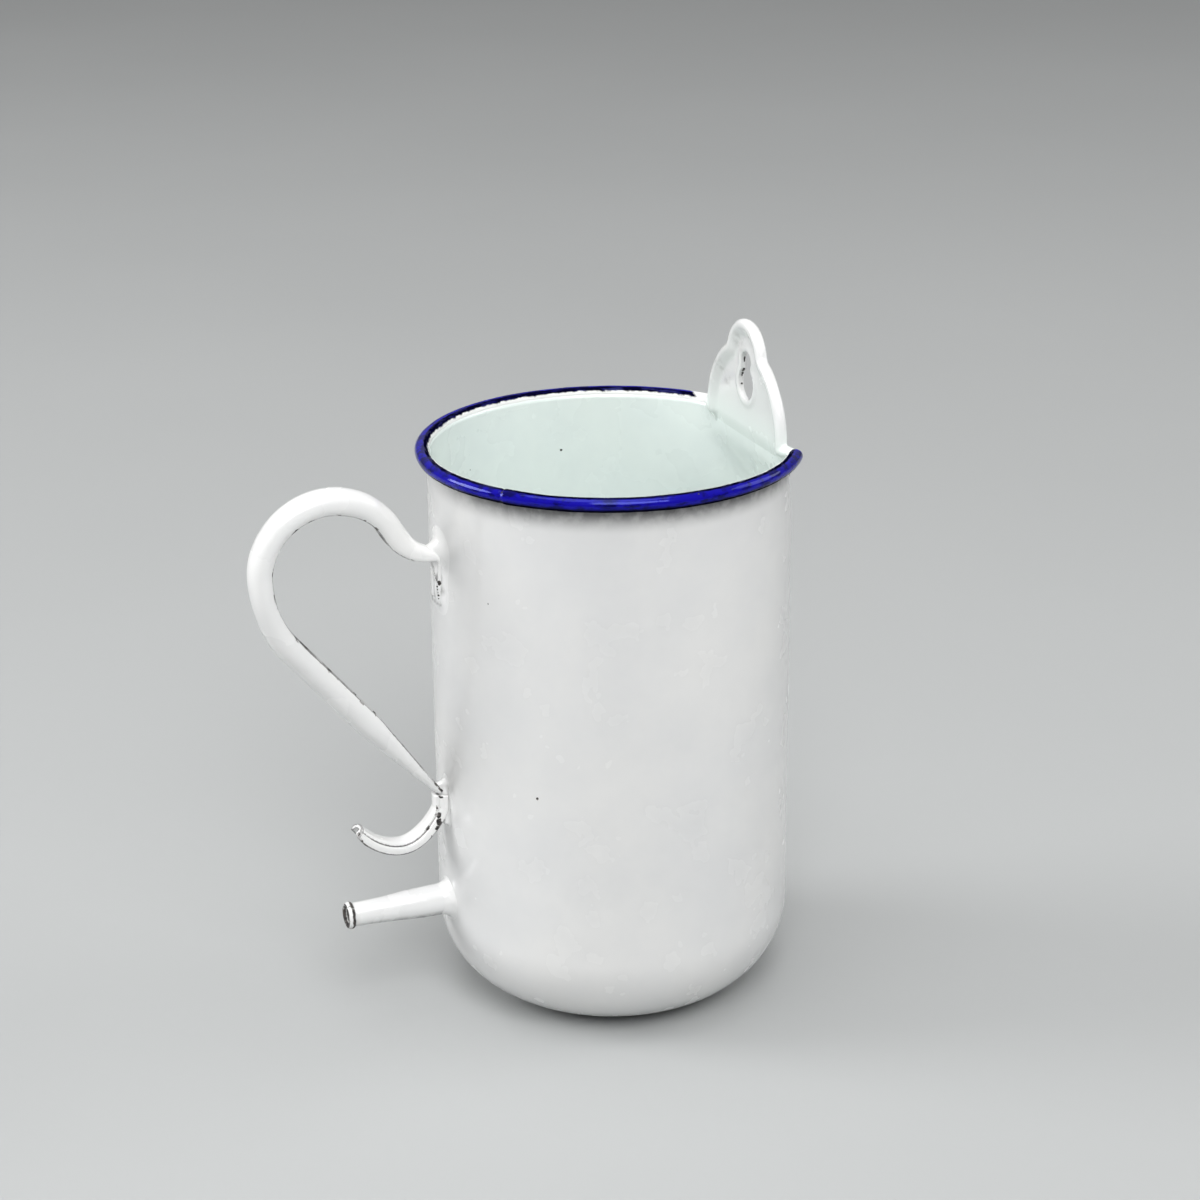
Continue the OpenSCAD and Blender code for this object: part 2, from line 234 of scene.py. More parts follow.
def chip_group():
    """Mask of one ragged chip: 1 in its bare middle, about a half on its broken edge."""
    tree, w, inp, out = new_group(
        "Enamel chip", "ShaderNodeTree",
        [("Place", "Vector", None), ("Middle", "Vector", None),
         ("Radius", "Float", 0.001), ("Stretch", "Vector", (1.0, 1.0, 1.0)),
         ("Rough", "Float", 0.5), ("Ragged", "Float", 0.5)],
        [("Mask", "Float")],
    )
    away = w.vector("DIVIDE", w.vector("SUBTRACT", inp["Place"], inp["Middle"]), inp["Stretch"])
    length = w.maths("ShaderNodeVectorMath", "LENGTH", away)["Value"]
    share = w.math("DIVIDE", length, inp["Radius"])
    jag = w.times(w.minus(inp["Rough"], 0.5), w.times(inp["Ragged"], 3.2))
    edge = w.plus(share, jag)
    w.put(out["Mask"], w.remap(edge, 1.0, 0.72))
    return tree


def skin_group():
    """Slow waves, fine peel and small pits of fired enamel, as one height and one mottling mask."""
    tree, w, inp, out = new_group(
        "Enamel skin", "ShaderNodeTree",
        [("Place", "Vector", None), ("Waves", "Float", 1.0),
         ("Seed", "Float", 0.0)],
        [("Height", "Float"), ("Mottle", "Float"), ("Pits", "Float")],
    )
    slow = w.noise(inp["Place"], 38.0, 2.0, 0.45, inp["Seed"])
    mid = w.noise(inp["Place"], 150.0, 2.0, 0.5, inp["Seed"])
    fine = w.noise(inp["Place"], 800.0, 1.0)
    height = w.times(w.plus(slow, w.times(mid, 0.16)), inp["Waves"])
    height = w.plus(height, w.times(fine, 0.005))
    cells = w.add("ShaderNodeTexVoronoi", {"Vector": inp["Place"], "Scale": 160.0})
    few = w.noise(inp["Place"], 60.0, 1.0)
    spot = w.remap(cells.outputs["Distance"], 0.045, 0.02)
    pits = w.times(spot, w.remap(few, 0.62, 0.66))
    w.put(out["Height"], height)
    w.put(out["Mottle"], w.remap(w.noise(inp["Place"], 22.0, 4.0, 0.62, inp["Seed"]), 0.3, 0.72))
    w.put(out["Pits"], pits)
    return tree


def group_node(w, tree, values):
    return w.add("ShaderNodeGroup", values, node_tree=tree).outputs


class Finish:
    """One enamel: its colour, chips and dirt are gathered and then wired to a Principled BSDF."""

    def __init__(self, name, kit, seed, waves=1.0):
        self.colours, skin, self.chip = kit
        material = bpy.data.materials.new(name)
        material.use_nodes = True
        tree = material.node_tree
        tree.nodes.clear()
        self.w = Wiring(tree)
        self.place = self.w.add("ShaderNodeTexCoord").outputs["Object"]
        self.parts = self.w.add("ShaderNodeSeparateXYZ", {0: self.place}).outputs
        self.skin = group_node(self.w, skin, {"Place": self.place, "Waves": waves, "Seed": seed})
        self.rough = self.w.noise(self.place, 1400.0, 4.0, 0.65)
        self.marks = []
        self.pitted = 0.0
        self.tint = (1.0, 1.0, 1.0, 1.0)
        self.relief = 0.0
        self.dull = 0.0
        self.colour = None

    def radial(self):
        """Distance from the can's axis."""
        x, y = self.parts[0], self.parts[1]
        w = self.w
        square = w.plus(w.times(x, x), w.times(y, y))
        return w.math("SQRT", square)

    def white(self, base):
        """White enamel, a little uneven in its tone."""
        low = tuple(c * (1 - shade) for c, shade in zip(base, MOTTLING)) + (1.0,)
        self.colour = self.w.mix(self.skin["Mottle"], low, tuple(base))

    def add_chips(self, places):
        """Chips as (x, y, z, radius, stretch along x, y and z) in millimetres."""
        for x, y, z, radius, *stretch in places:
            sx, sy, sz = stretch or (1, 1, 1)
            self.marks.append(group_node(self.w, self.chip, {
                "Place": self.place, "Middle": (x * MM, y * MM, z * MM),
                "Radius": radius * MM, "Stretch": (sx, sy, sz), "Rough": self.rough, "Ragged": 0.5,
            })[0])

    def dark_patches(self, places, colour, share, least=0.0):
        """Soft ragged dark patches as (x, y, z, radius), full at least by the share least; dirt in
        some places, painted shade and a painted reflection in others.
        """
        w = self.w
        patch = w.noise(self.place, 330.0, 3.0, 0.6)
        for x, y, z, radius in places:
            middle = (x * MM, y * MM, z * MM)
            away = w.maths("ShaderNodeVectorMath", "DISTANCE", self.place, middle)["Value"]
            near = w.remap(away, radius * MM, radius * MM * 0.2)
            mask = w.times(near, w.remap(patch, 0.35, 0.7, least, 1.0))
            self.shadow(mask, colour, share)
            self.dull = w.math("MAXIMUM", self.dull, w.times(mask, share))

    def worn_and_shaded_edges(self, share, often, least):
        """Thin grey line and small chips along the cut edges and in the hook's groove, where the
        edges' attribute is up; the line is partly worn enamel and partly painted shade.
        """
        w = self.w
        wear_and_shade = w.add("ShaderNodeAttribute", attribute_name="wear_and_shade").outputs["Fac"]
        patch = w.remap(w.noise(self.place, 110.0, 3.0), 0.42, 0.62)
        line = w.remap(w.plus(wear_and_shade, w.times(w.minus(self.rough, 0.5), 0.8)), 0.55, 0.9)
        self.shadow(w.times(line, w.remap(patch, 0.0, 1.0, least, 1.0)), WORN_AND_SHADE, share)
        bits = w.remap(w.noise(self.place, 260.0, 3.0, 0.6), often, often + 0.05)
        self.marks.append(w.times(wear_and_shade, bits))

    def shadow(self, mask, colour, share):
        """Colour laid over the finish where mask is up: dirt, wear, other enamel, and in some
        places painted shade and reflection.
        """
        self.colour = self.w.mix(self.w.times(mask, share), self.colour, colour)

    def close(self, roughness, bump=0.5, coat=0.5):
        """Wires everything to the shader."""
        w = self.w
        chipped = w.times(self.skin["Pits"], self.pitted)
        for mark in self.marks:
            chipped = w.math("MAXIMUM", chipped, mark)
        bare = w.remap(chipped, 0.55, 0.8)
        rim = w.remap(chipped, 0.08, 0.45)
        tone = w.noise(self.place, 900.0, 3.0)
        iron = w.mix(w.remap(tone, 0.35, 0.75), tuple(self.colours.iron), tuple(self.colours.rust))
        edge = w.mix(w.times(rim, 0.8), self.colour, tuple(self.colours.rust))
        colour = w.mix(bare, edge, iron)
        smear = w.noise(self.place, 70.0, 3.0)
        smooth = w.remap(smear, 0.35, 0.75, roughness * 0.75, roughness * 1.45)
        rough = w.plus(w.times(bare, 0.5), smooth)
        height = w.plus(self.skin["Height"], self.relief)
        height = w.minus(height, w.times(chipped, 0.5))
        normal = w.add("ShaderNodeBump", {"Strength": bump, "Distance": 0.0006, "Height": height})
        cover = w.minus(coat, w.times(w.math("MAXIMUM", bare, self.dull), coat))
        shader = w.add("ShaderNodeBsdfPrincipled", {
            "Base Color": colour, "Roughness": rough, "Normal": normal.outputs[0],
            "Coat Weight": cover, "Coat Roughness": 0.1,
            "Specular IOR Level": w.times(w.minus(1.0, self.dull), 0.5),
            "Specular Tint": self.tint,
        })
        w.add("ShaderNodeOutputMaterial", {"Surface": shader.outputs[0]})


# Mesh helpers


def link(name, mesh):
    piece = bpy.data.objects.new(name, mesh)
    bpy.context.scene.collection.objects.link(piece)
    return piece


def tidy(mesh, outward=True):
    """Merges doubles, points the faces outwards and shades them smooth."""
    bm = bmesh.new()
    bm.from_mesh(mesh)
    bmesh.ops.remove_doubles(bm, verts=bm.verts, dist=1e-6)
    if outward:
        bmesh.ops.recalc_face_normals(bm, faces=bm.faces)
    for face in bm.faces:
        face.smooth = True
    bm.to_mesh(mesh)
    bm.free()


def solid(name, points, faces, wear_and_shade=None):
    """Closed piece from points in millimetres, with each point's share of edge wear and painted
    shade.
    """
    mesh = bpy.data.meshes.new(name)
    mesh.from_pydata([tuple(c * MM for c in p) for p in points], [], faces)
    if wear_and_shade:
        mesh.attributes.new("wear_and_shade", "FLOAT", "POINT").data.foreach_set("value", wear_and_shade)
    tidy(mesh)
    return link(name, mesh)


def baked(piece):
    """Turns a piece's modifiers into plain mesh and removes them."""
    graph = bpy.context.evaluated_depsgraph_get()
    mesh = bpy.data.meshes.new_from_object(piece.evaluated_get(graph), depsgraph=graph)
    piece.modifiers.clear()
    piece.data = mesh


def drop(piece):
    bpy.data.objects.remove(piece, do_unlink=True)


def grid_faces(rows, columns, round_rows=False):
    """Faces between rows of points; each row is a ring, and the last meets the first if round."""
    faces = []
    for i in range(rows if round_rows else rows - 1):
        a, b = i * columns, ((i + 1) % rows) * columns
        for j in range(columns):
            k = (j + 1) % columns
            faces.append((a + j, a + k, b + k, b + j))
    return faces


def skinned(name, rings, wear_and_shade=None):
    """Solid over rings of equal length, closed by a face at each end."""
    count, size = len(rings), len(rings[0])
    points = [p for ring in rings for p in ring]
    faces = grid_faces(count, size)
    faces.append(tuple(range(size)))
    faces.append(tuple(range((count - 1) * size, count * size)))
    return solid(name, points, faces, wear_and_shade)


def wobble(p, size, reach, seed=0.0):
    """Small hand-made shift of a point in millimetres, over features of the given size."""
    v = noise.noise_vector(Vector((p[0] + seed, p[1] - seed, p[2])) / size)
    return tuple(a + reach * b for a, b in zip(p, v))


def cubic(a, b, c, d, t):
    s = 1 - t
    return tuple(s ** 3 * p + 3 * t * s * s * q + 3 * t * t * s * u + t ** 3 * v
                 for p, q, u, v in zip(a, b, c, d))


def arc(c, r, a0, a1, n):
    turns = [math.radians(a0 + (a1 - a0) * i / n) for i in range(n + 1)]
    return [(c[0] + r * math.cos(a), c[1] + r * math.sin(a)) for a in turns]


def runs(path):
    total = [0.0]
    for p, q in zip(path, path[1:]):
        total.append(total[-1] + math.dist(p, q))
    return total


def resampled(path, step):
    """Points at even steps along a path."""
    total = runs(path)
    count = max(2, round(total[-1] / step))
    out, i = [], 0
    for k in range(count + 1):
        s = total[-1] * k / count
        while i < len(path) - 2 and total[i + 1] < s:
            i += 1
        t = (s - total[i]) / max(1e-9, total[i + 1] - total[i])
        out.append(tuple(p + (q - p) * t for p, q in zip(path[i], path[i + 1])))
    return out


def softened(path, reach):
    """Path with its corners rounded, each point the mean of reach points to each side."""
    out = []
    for i in range(len(path)):
        k = min(reach, i, len(path) - 1 - i)
        near = path[i - k:i + k + 1]
        out.append(tuple(sum(c) / len(near) for c in zip(*near)))
    return out


def distance_to(points):
    """Function of x and z that gives the distance to the nearest of these (x, z) points."""
    found = kdtree.KDTree(len(points))
    for i, (x, z) in enumerate(points):
        found.insert((x, 0.0, z), i)
    found.balance()
    return lambda x, z: found.find((x, 0.0, z))[2]


def eased(t):
    """0 to 1 with soft ends."""
    t = min(1.0, max(0.0, t))
    return t * t * (3 - 2 * t)


def lookup(s, table):
    """Value of a table of (place, value) pairs at s, straight between its entries."""
    if s <= table[0][0]:
        return table[0][1]
    for (a, p), (b, q) in zip(table, table[1:]):
        if s <= b:
            t = (s - a) / (b - a)
            return p + (q - p) * t
    return table[-1][1]


def settle(piece, nodes, slot, *finishes):
    """Gives a finished piece its materials and its place on the frame."""
    slots = piece.data.materials
    for i, material in enumerate(map(finish_named, finishes)):
        if i < len(slots):
            slots[i] = material
        else:
            slots.append(material)
    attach(piece, "root")
    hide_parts(*nodes)


# Geometry node trees


def finish_tree(w, geometry, material, out):
    """Ends a tree in Realize Instances and Set Material."""
    smooth = w.add("GeometryNodeSetShadeSmooth", {"Geometry": geometry}).outputs[0]
    whole = w.add("GeometryNodeRealizeInstances", {"Geometry": smooth}).outputs[0]
    painted = w.add("GeometryNodeSetMaterial", {"Geometry": whole, "Material": material}).outputs[0]
    w.put(out["Geometry"], painted)


def cup_tree():
    """Drawn cup with a flattened back: a grid wound round the axis by the cup's own rule."""
    tree, w, inp, out = new_group(
        "Drawn cup", "GeometryNodeTree",
        [("Geometry", "Geometry", None), ("Radius", "Float", 0.06),
         ("Height", "Float", 0.191), ("Corner", "Float", 0.031),
         ("Flat", "Float", 0.051), ("Crease", "Float", 0.1835),
         ("Slope", "Float", 0.47), ("Ease", "Float", 0.002),
         ("Waves", "Float", 0.0002), ("Material", "Material", None)],
        [("Geometry", "Geometry")],
    )
    corner = inp["Corner"]
    floor_r = w.minus(inp["Radius"], corner)
    bend = w.times(corner, math.pi / 2)
    rise = w.minus(inp["Height"], corner)
    length = w.plus(w.plus(floor_r, bend), rise)
    grid = w.add("GeometryNodeMeshGrid", {
        "Size X": 1.0, "Size Y": 1.0, "Vertices X": 289, "Vertices Y": 170,
    })
    flat = w.add("GeometryNodeInputPosition").outputs[0]
    place = w.add("ShaderNodeSeparateXYZ", {0: flat}).outputs
    turn = w.times(w.plus(place[0], 0.5), 2 * math.pi)
    s = w.times(w.plus(place[1], 0.5), length)
    past = w.minus(s, floor_r)
    lean = w.math("MINIMUM", w.math("MAXIMUM", w.math("DIVIDE", past, corner), 0.0), math.pi / 2)
    radius = w.plus(w.math("MINIMUM", s, floor_r),
                    w.times(corner, w.math("SINE", lean)))
    up = w.times(corner, w.minus(1.0, w.math("COSINE", lean)))
    z = w.plus(up, w.math("MAXIMUM", w.minus(past, bend), 0.0))
    x = w.times(radius, w.math("COSINE", turn))
    y = w.times(radius, w.math("SINE", turn))
    below = w.math("SMOOTH_MAX", w.minus(inp["Crease"], z), 0.0, 0.005)
    limit = w.plus(inp["Flat"], w.times(below, inp["Slope"]))
    y = w.math("SMOOTH_MIN", y, limit, inp["Ease"])
    wound = w.add("ShaderNodeCombineXYZ", {0: x, 1: y, 2: z}).outputs[0]
    shell = w.add("GeometryNodeSetPosition", {"Geometry": grid.outputs[0], "Position": wound})
    merged = w.add("GeometryNodeMergeByDistance", {"Geometry": shell.outputs[0], "Distance": 1e-5})
    spot = w.add("GeometryNodeInputPosition").outputs[0]
    wave = w.add("ShaderNodeTexNoise", {"Vector": spot, "Scale": 30.0, "Detail": 1.0}).outputs[0]
    amount = w.times(w.minus(wave, 0.75), inp["Waves"])
    aside = w.vector("SCALE", w.add("GeometryNodeInputNormal").outputs[0])
    w.put(aside.node.inputs["Scale"], amount)
    worn = w.add("GeometryNodeSetPosition", {"Geometry": merged.outputs[0], "Offset": aside})
    finish_tree(w, worn.outputs[0], inp["Material"], out)
    return tree


def bead_tree():
    """Round bead swept along the piece's own edges, uneven like a hand-dipped rim."""
    tree, w, inp, out = new_group(
        "Swept bead", "GeometryNodeTree",
        [("Geometry", "Geometry", None), ("Radius", "Float", 0.0024),
         ("Step", "Float", 0.0006), ("Sides", "Int", 28),
         ("Uneven", "Float", 0.05), ("Scale", "Float", 90.0),
         ("Material", "Material", None)],
        [("Geometry", "Geometry")],
    )
    path = w.add("GeometryNodeMeshToCurve", {"Mesh": inp["Geometry"]}).outputs[0]
    even = w.add("GeometryNodeResampleCurve", {"Curve": path, "Length": inp["Step"]}, mode="LENGTH")
    profile = w.add("GeometryNodeCurvePrimitiveCircle",
                    {"Resolution": inp["Sides"], "Radius": inp["Radius"]})
    tube = w.add("GeometryNodeCurveToMesh", {
        "Curve": even.outputs[0], "Profile Curve": profile.outputs[0], "Fill Caps": True,
    })
    spot = w.add("GeometryNodeInputPosition").outputs[0]
    wave = w.add("ShaderNodeTexNoise", {"Vector": spot, "Scale": inp["Scale"], "Detail": 2.0})
    swing = w.times(w.minus(wave.outputs[0], 0.62), 2.0)
    amount = w.times(w.times(swing, inp["Uneven"]), inp["Radius"])
    aside = w.vector("SCALE", w.add("GeometryNodeInputNormal").outputs[0])
    w.put(aside.node.inputs["Scale"], amount)
    worn = w.add("GeometryNodeSetPosition", {"Geometry": tube.outputs[0], "Offset": aside})
    finish_tree(w, worn.outputs[0], inp["Material"], out)
    return tree


def run_tree(piece, tree, **values):
    """Runs a geometry tree on a piece and leaves plain mesh."""
    modifier = piece.modifiers.new("shape", "NODES")
    modifier.node_group = tree
    for item in tree.interface.items_tree:
        if item.item_type == "SOCKET" and item.in_out == "INPUT" and item.name in values:
            modifier[item.identifier] = values[item.name]
    baked(piece)
    # Set Material leaves an empty slot before its own, so the pieces get theirs afterwards
    piece.data.materials.clear()
    return piece


def swept_bead(name, tree, path, radius, **values):
    """Bead along a path of points in millimetres."""
    mesh = bpy.data.meshes.new(name)
    edges = [(i, i + 1) for i in range(len(path) - 1)]
    mesh.from_pydata([tuple(c * MM for c in p) for p in path], edges, [])
    piece = run_tree(link(name, mesh), tree, Radius=radius * MM, **values)
    tidy(piece.data)
    return piece


def fused(name, parts, voxel, rounds):
    """Melts overlapping closed parts into one soft skin, as enamel runs over a joint."""
    mesh = bpy.data.meshes.new(name)
    bm = bmesh.new()
    for part in parts:
        bm.from_mesh(part.data)
        drop(part)
    bm.to_mesh(mesh)
    bm.free()
    piece = link(name, mesh)
    melt = piece.modifiers.new("melt", "REMESH")
    melt.mode = "VOXEL"
    melt.voxel_size = voxel * MM
    soft = piece.modifiers.new("soft", "SMOOTH")
    soft.factor = 0.5
    soft.iterations = rounds
    baked(piece)
    tidy(piece.data, outward=False)
    return piece


# Shapes


def wall_at(x, r=CAN_R):
    return math.sqrt(max(0.0, r * r - x * x))


def strip_outline(w, d, t, full, curl, groove=None):
    """Closed outline of a pressed strip of width w and depth d, crown upwards, with round edges.

    A groove is (angle, depth) beside the crown. Also returns each point's share of edge wear and
    painted shade, the groove taking a share too.
    """
    count, cap = 36, 5
    c = math.radians(curl)
    rise = max(d - t, 0.0)
    b = rise / (1 + math.sin(c))
    half = (w - t) / 2
    line, cut = [], []
    for i in range(count + 1):
        a = -c + (math.pi + 2 * c) * i / count
        up = math.sin(a)
        up = up ** full if up > 0 else up
        line.append((half * math.cos(a), t / 2 + b * math.sin(c) + b * up))
        turned = math.degrees(a)
        beside = min(abs(turned - groove[0]), abs(180 - turned - groove[0])) if groove else 99
        cut.append(min(1.0, max(0.0, 1.5 - beside / 8.0)))
    outer, inner = [], []
    for i, p in enumerate(line):
        q0, q1 = line[max(i - 1, 0)], line[min(i + 1, count)]
        ux, uy = q1[0] - q0[0], q1[1] - q0[1]
        n = math.hypot(ux, uy) or 1.0
        out = t / 2 - (groove[1] * cut[i] if groove else 0.0)
        outer.append((p[0] + uy / n * out, p[1] - ux / n * out))
        inner.append((p[0] - uy / n * t / 2, p[1] + ux / n * t / 2))

    def end(mid, start):
        a0 = math.degrees(math.atan2(start[1] - mid[1], start[0] - mid[0]))
        return arc(mid, t / 2, a0, a0 + 180, cap + 1)[1:-1]

    # The groove's outer points get a share as well: a painted shade line in the groove beside the
    # real wear of the cut edges
    wear_and_shade = [0.95 * v for v in cut] + [1.0] * cap + [0.7] + [0.0] * (count - 1) + [0.7] + [1.0] * cap
    wear_and_shade[0] = wear_and_shade[count] = 0.6
    return outer + end(line[-1], outer[-1]) + inner[::-1] + end(line[0], inner[0]), wear_and_shade


def strip_ring(outline, d, p, u, seat):
    """An outline set across a path in the YZ plane at p, bent to the wall by the share seat."""
    ring = []
    for x, h in outline:
        r = p[0] - (h - d / 2) * u[1]
        z = p[1] + (h - d / 2) * u[0]
        ring.append((x, seat * (CAN_R - wall_at(x)) - r, z))
    return ring


def strip_solid(name, path, width, depth, thick, full, curl, seat, marked_from, seed,
                groove=None, step=1.1, blunt=0.0):
    """Strip along a path; width, depth and the rest are tables over its run.

    Its edges carry wear and painted shade from the run at which they start, and its end is rounded
    over the length blunt.
    """
    path = resampled(path, step)
    total = runs(path)
    rings, wear_and_shade = [], []
    for i, p in enumerate(path):
        a, b = path[max(i - 1, 0)], path[min(i + 1, len(path) - 1)]
        n = math.dist(a, b)
        u = ((b[0] - a[0]) / n, (b[1] - a[1]) / n)
        s = total[i]
        d = lookup(s, depth)
        outline, ring_wear_and_shade = strip_outline(
            lookup(s, width), d, thick, lookup(s, full), lookup(s, curl), groove
        )
        left = total[-1] - s
        if left < blunt:
            f = 0.78 + 0.22 * math.sqrt(1 - (1 - left / blunt) ** 2)
            outline = [(x * f, d / 2 + (h - d / 2) * f) for x, h in outline]
            ring_wear_and_shade = [1.0] * len(outline)
        ring = strip_ring(outline, d, p, u, lookup(s, seat))
        rings.append([wobble(q, 9.0, 0.12, seed) for q in ring])
        wear_and_shade += [v * eased((s - marked_from) / 5) for v in ring_wear_and_shade]
    if blunt:
        # A smaller last ring keeps the wear and painted shade to the outline of the cut end
        ring = rings[-1]
        mid = [sum(c) / len(ring) for c in zip(*ring)]
        rings.append([tuple(m + 0.62 * (c - m) for c, m in zip(q, mid)) for q in ring])
        wear_and_shade += [0.0] * len(ring)
    return skinned(name, rings, wear_and_shade)


def handle_path():
    """Centre line of the handle, as distance from the can's axis and height."""
    tongue_r = CAN_R + 0.75
    top = (tongue_r, 159.5)
    loop, loop_r = (96.5, 161.2), LOOP_R
    belly_r, belly_a = 41.7, math.radians(-3)
    inset = loop_r - belly_r
    belly = (loop[0] + inset * math.cos(belly_a), loop[1] + inset * math.sin(belly_a))
    foot = (63.4, 79.3)
    away = (foot[0] - belly[0], foot[1] - belly[1])
    foot_a = math.degrees(math.atan2(away[1], away[0]) + math.acos(belly_r / math.hypot(*away)))
    start = arc(loop, loop_r, 152, 152, 1)[0]
    pull = (math.sin(math.radians(152)), -math.cos(math.radians(152)))
    lead = (start[0] - 14.2 * pull[0], start[1] - 14.2 * pull[1])
    neck = [cubic(top, (top[0], top[1] + 5.6), lead, start, i / 24) for i in range(24)]
    path = [(tongue_r, 145.0), (tongue_r, 152.0)] + neck
    path += arc(loop, loop_r, 152, -3, 90)[:-1] + arc(belly, belly_r, -3, foot_a, 30)
    end = path[-1]
    n = math.dist(end, foot)
    u = ((foot[0] - end[0]) / n, (foot[1] - end[1]) / n)
    path += [(end[0] + u[0] * n * i / 30, end[1] + u[1] * n * i / 30) for i in range(1, 31)]
    path.append((foot[0] + 1.4 * u[0], foot[1] + 1.4 * u[1]))
    return path


def hook_path():
    top, low, tip = (62.3, 77.3), (76.4, 60.9), (91.1, 69.3)
    seat = (top[0], top[1] - 4.5)
    path = [top, (top[0], top[1] - 2.5)]
    for a, b, c, d, steps in ((seat, (seat[0], seat[1] - 1.8), (low[0] - 7.8, low[1]), low, 20),
                              (low, (low[0] + 6.1, low[1]), (tip[0] - 3, tip[1] - 4), tip, 21)):
        path += [cubic(a, b, c, d, i / 20) for i in range(steps)]
    return path


def lathe(name, profile, sides, place):
    """Round solid from a closed profile of (distance along, radius), put in place by place."""
    points = []
    for along, r in profile:
        for j in range(sides):
            a = 2 * math.pi * j / sides
            points.append(place(along, r * math.cos(a), r * math.sin(a)))
    return solid(name, points, grid_faces(len(profile), sides, round_rows=True))


def wall_fillet(name, outline, reach, rise, seed, inner=lambda z: 1.2, uneven=0.2):
    """Hollow run of enamel between the wall and a piece with this outline of (x, z) on it.

    reach, rise and inner give its width outside the outline, its height off the wall and its width
    inside the outline, at a height on the can; uneven is the share by which they vary.
    """
    count = len(outline)
    bends = [math.pi / 2 * k / 10 for k in range(11)]
    section = [(-1.0, 1.0)] + [(1 - math.cos(a), 1 - math.sin(a)) for a in bends]
    section += [(1.15, -0.02), (1.3, -0.06), (1.35, -0.5), (-1.0, -0.6)]
    rows = []
    for i, (x, z) in enumerate(outline):
        x0, z0 = outline[i - 1]
        x1, z1 = outline[(i + 1) % count]
        n = math.hypot(x1 - x0, z1 - z0)
        nx, nz = (z1 - z0) / n, -(x1 - x0) / n
        swing = 1 + uneven * noise.noise(Vector((x, z, seed)) / 2.6)
        w, h = reach(z) * swing, rise(z) * swing
        ring = []
        for out, up in section:
            run = out * (inner(z) if out < 0 else w)
            px, pz = x + nx * run, z + nz * run
            lift = (up * h if up > 0 else up) - 0.03
            ring.append((px, -(wall_at(px) + lift), pz))
        rows.append(ring)
    points = [p for ring in rows for p in ring]
    return solid(name, points, grid_faces(count, len(section), round_rows=True))


def tapered_outline(z0, z1, half_low, half_high, r, step=7):
    """Rounded outline in x and z, counter-clockwise, with a half width for each end."""
    out = []
    for (x, z), a0 in [((half_low - r, z0 + r), -90), ((half_high - r, z1 - r), 0),
                       ((r - half_high, z1 - r), 90), ((r - half_low, z0 + r), 180)]:
        out += arc((x, z), r, a0, a0 + 90, step)
    dense = []
    for p, q in zip(out, out[1:] + out[:1]):
        n = max(1, round(math.dist(p, q) / 0.6))
        dense += [tuple(a + (b - a) * k / n for a, b in zip(p, q)) for k in range(n)]
    return dense


# Chips and specks, each (x, y, z, radius, stretch along x, y and z) in millimetres

BODY_CHIPS = [
    (42.0, -42.9, 89.3, 0.55), (27.9, -53.1, 153.0, 0.28), (60.0, 1.8, 14.1, 0.8, 1, 1.6, 0.5),
    (54.1, 26.0, 17.3, 0.7, 1, 1.8, 0.5), (26.2, 54.0, 65.8, 0.7, 1, 1, 1.5),
]
INSIDE_CHIPS = [(-58.7, 5.5, 171.7, 0.45), (-50.1, -31.2, 171.6, 0.3), (27.6, 49.0, 187.9, 0.7)]
PLATE_CHIPS = [
    (-4.9, 49.9, 207.8, 0.62, 0.9, 1, 2.6), (-4.1, 49.9, 209.9, 0.6, 0.9, 1, 2.4),
    (-5.3, 49.9, 204.9, 0.45),
    (-3.7, 50.0, 214.0, 0.36, 1, 1, 4.2), (28.0, 47.6, 188.6, 0.6),
    (31.5, 47.5, 191.8, 0.8, 1.6, 1, 0.6),
    (-21.0, 48.8, 208.9, 0.4), (-7.3, 48.9, 203.9, 0.3), (-31.0, 47.4, 190.0, 0.5),
]
HANDLE_CHIPS = [
    (4.3, -107.9, 177.6, 0.8, 1, 1.4, 0.7), (4.2, -112.9, 168.9, 0.6, 1, 1, 1.5),
    (3.4, -61.1, 153.0, 0.75, 1, 1, 1.3),
    (2.6, -64.6, 78.0, 1.0, 1.3, 1.7, 0.7), (4.6, -66.0, 161.0, 0.35),
]
HOOK_CHIPS = [
    (3.3, -64.0, 73.2, 1.1, 1, 0.9, 1.5), (3.5, -63.6, 70.9, 1.0, 1, 0.9, 1.6),
    (3.8, -63.7, 68.6, 1.1, 1, 1, 1.5),
    (4.1, -64.4, 66.4, 0.9), (4.2, -64.2, 64.7, 0.8, 1, 1, 1.5),
    (3.2, -62.8, 77.0, 0.8, 1.2, 1.2, 0.6),
]
WELD_CHIPS = [
    (3.4, -61.1, 153.0, 0.75, 1, 1, 1.3), (4.1, -61.6, 72.4, 0.8, 0.7, 1, 2.2),
    (3.5, -62.4, 77.6, 0.7, 0.8, 1.2, 1),
    (4.3, -61.2, 68.4, 0.7, 0.8, 1, 2.0), (3.4, -63.6, 161.5, 0.4), (2.8, -64.8, 163.5, 0.35),
    (3.2, -62.6, 158.8, 0.45),
]
RIM_CHIPS = [
    (36.9, -51.2, 193.1, 0.75, 1, 1, 1), (37.4, -52.6, 191.6, 0.5, 1, 1, 1.5),
    (62.8, 4.2, 193.0, 0.3),
]

# Dark patches, each (x, y, z, radius) in millimetres: a painted reflection below the hook, dirt and
# painted shade on the plate, smears on the tongue's weld

HOOK_REFLECTION_PATCHES = [(-3.5, -59.9, 63.0, 4.5), (-4.5, -59.8, 57.0, 4.5), (-3.5, -59.9, 51.0, 4.0)]
PLATE_DIRT_AND_SHADE = [(-20.0, 48.5, 208.0, 5.0), (-5.0, 48.5, 219.5, 5.0), (-15.0, 48.5, 204.0, 4.0)]
WELD_SMUDGES = [(3.2, -61.2, 154.5, 2.4), (3.8, -60.9, 150.5, 2.8)]


# Finishes of the pieces


